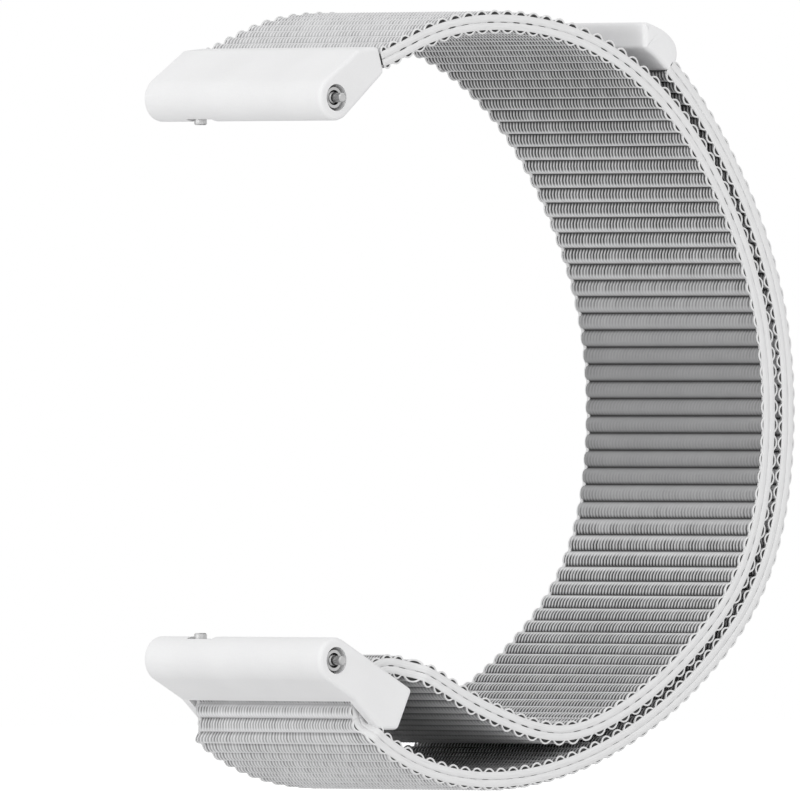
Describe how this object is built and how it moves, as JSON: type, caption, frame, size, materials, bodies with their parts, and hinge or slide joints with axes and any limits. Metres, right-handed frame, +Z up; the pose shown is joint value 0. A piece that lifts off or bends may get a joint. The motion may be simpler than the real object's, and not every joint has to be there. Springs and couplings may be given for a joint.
{
  "type": "magnetic nylon watch strap",
  "caption": "Woven nylon wrist strap: one end moulded into a connector, the other folded back through a slotted buckle and held by magnets, on quick-release spring bars.",
  "frame": {"origin": "midway between the axes of the two spring bars, at mid width: the middle of the watch head that holds the strap", "axes": "+X across the band along the spring bars, +Y back from the watch towards the inside of the wrist, +Z up towards the connector at 12 o'clock"},
  "size_m": [0.0236, 0.0558, 0.0661],
  "materials": {
    "woven_nylon": "ribbed weave, matt",
    "moulded_white": "smooth satin moulding",
    "spring_bar_steel": "turned steel",
    "strip_steel": "rolled spring steel",
    "magnet_plating": "nickel plate"
  },
  "bodies": {
    "strap": {"top_connector": "moulded_white", "band_run": "woven_nylon", "steel_strip": "strip_steel"},
    "buckle": {"buckle": "moulded_white"},
    "tail": {"band_tail": "woven_nylon", "tail_magnet_1": "magnet_plating", "tail_magnet_2": "magnet_plating", "tail_magnet_3": "magnet_plating", "tail_magnet_4": "magnet_plating", "tail_magnet_5": "magnet_plating", "end_tab": "moulded_white"},
    "top_bar": {"top_bar_tube": "spring_bar_steel", "top_bar_fixed_pin": "spring_bar_steel", "top_bar_spring": "spring_bar_steel"},
    "top_lever": {"top_bar_sliding_pin": "spring_bar_steel", "top_bar_lever": "spring_bar_steel"},
    "lower_bar": {"lower_bar_tube": "spring_bar_steel", "lower_bar_fixed_pin": "spring_bar_steel", "lower_bar_spring": "spring_bar_steel"},
    "lower_lever": {"lower_bar_sliding_pin": "spring_bar_steel", "lower_bar_lever": "spring_bar_steel"}
  },
  "joints": [
    {"name": "buckle_swing", "type": "hinge", "parent": "strap", "child": "buckle", "pos_m": [0, 0.0072, -0.0278], "axis": [1, 0, 0], "range_deg": [-12, 12]},
    {"name": "tail_peel", "type": "hinge", "parent": "strap", "child": "tail", "pos_m": [0, 0.00438, -0.03104], "axis": [-1, 0, 0], "range_deg": [0, 50]},
    {"name": "top_bar_turn", "type": "hinge", "parent": "strap", "child": "top_bar", "pos_m": [0, 0, 0.02385], "axis": [1, 0, 0], "range_deg": [-4, 4]},
    {"name": "top_lever_slide", "type": "slide", "parent": "top_bar", "child": "top_lever", "axis": [1, 0, 0], "range_m": [0, 0.0014], "stiffness_N_per_m": 300, "springref_m": -0.0015, "deforming": ["top_bar_spring"]},
    {"name": "lower_bar_turn", "type": "hinge", "parent": "buckle", "child": "lower_bar", "pos_m": [0, 0, -0.02385], "axis": [1, 0, 0], "range_deg": [-4, 4]},
    {"name": "lower_lever_slide", "type": "slide", "parent": "lower_bar", "child": "lower_lever", "axis": [1, 0, 0], "range_m": [0, 0.0014], "stiffness_N_per_m": 300, "springref_m": -0.0015, "deforming": ["lower_bar_spring"]}
  ]
}
